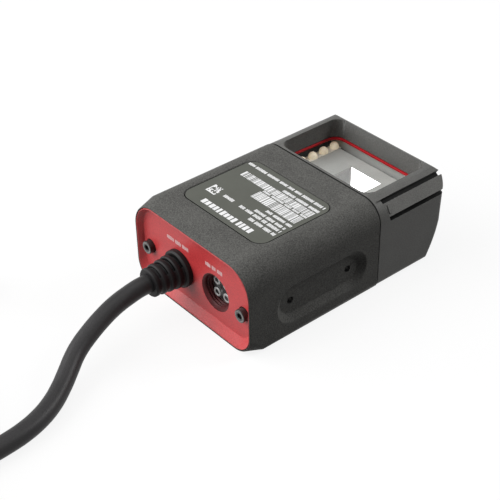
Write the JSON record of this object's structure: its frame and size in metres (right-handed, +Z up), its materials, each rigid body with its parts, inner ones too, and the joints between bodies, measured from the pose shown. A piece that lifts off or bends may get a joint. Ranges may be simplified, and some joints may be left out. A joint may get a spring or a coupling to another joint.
{
  "type": "fixed barcode reader",
  "caption": "Flat box scanner with a right-angle window head, side mounting holes, slide slots and a red rear panel with a round network socket and a captive cable.",
  "frame": {"origin": "middle of the base, under the centre of the box of housing and head", "axes": "+Y from the connector panel to the reading head, +Z up through the window, +X towards the network socket's side"},
  "size_m": [0.0985, 0.2515, 0.0333],
  "materials": {
    "housing_paint": "matt charcoal paint",
    "panel_red": "satin red paint",
    "gasket_red": "matt",
    "label_film": "satin film",
    "window_clear": "clear",
    "plate_grey": "matt",
    "lamp_cream": "satin",
    "lamp_board": "satin",
    "mirror_face": "polished",
    "black_plastic": "matt",
    "lens_coated": "coated",
    "board_green": "satin",
    "chip_black": "matt",
    "pad_soft": "matt",
    "seal_black": "matt",
    "screw_black": "black oxide",
    "screw_steel": "zinc plated",
    "shield_metal": "nickel plated",
    "contact_gold": "gold plated",
    "boot_black": "satin",
    "cord_black": "satin",
    "tie_black": "matt",
    "connector_white": "matt"
  },
  "bodies": {
    "root": {"housing": "housing_paint", "head_cover": "housing_paint", "end_panel": "panel_red", "window_gasket": "gasket_red", "name_label": "label_film", "window_glass": "window_clear", "optical_plate": "plate_grey", "lamp_domes": "lamp_cream", "lamp_board_left": "lamp_board", "lamp_board_right": "lamp_board", "fold_mirror": "mirror_face", "mirror_bracket": "black_plastic", "lens_barrel": "black_plastic", "lens_holder": "black_plastic", "socket_insert": "black_plastic", "plug_insert": "black_plastic", "front_lens": "lens_coated", "sensor_board": "board_green", "main_board": "board_green", "connector_board": "board_green", "image_sensor": "chip_black", "processor": "chip_black", "heat_pad": "pad_soft", "head_seal": "seal_black", "panel_seal": "seal_black", "socket_ring": "seal_black", "panel_screws": "screw_black", "head_screws": "screw_steel", "board_screws": "screw_steel", "socket_shield": "shield_metal", "plug_screw": "shield_metal", "socket_contacts": "contact_gold", "plug_pins": "contact_gold", "cable_boot": "boot_black", "plug_body": "boot_black", "cord": "cord_black", "cord_coil": "cord_black", "cord_tail": "cord_black", "inner_lead": "cord_black", "cord_tie": "tie_black", "lead_connector": "connector_white"}
  },
  "joints": []
}
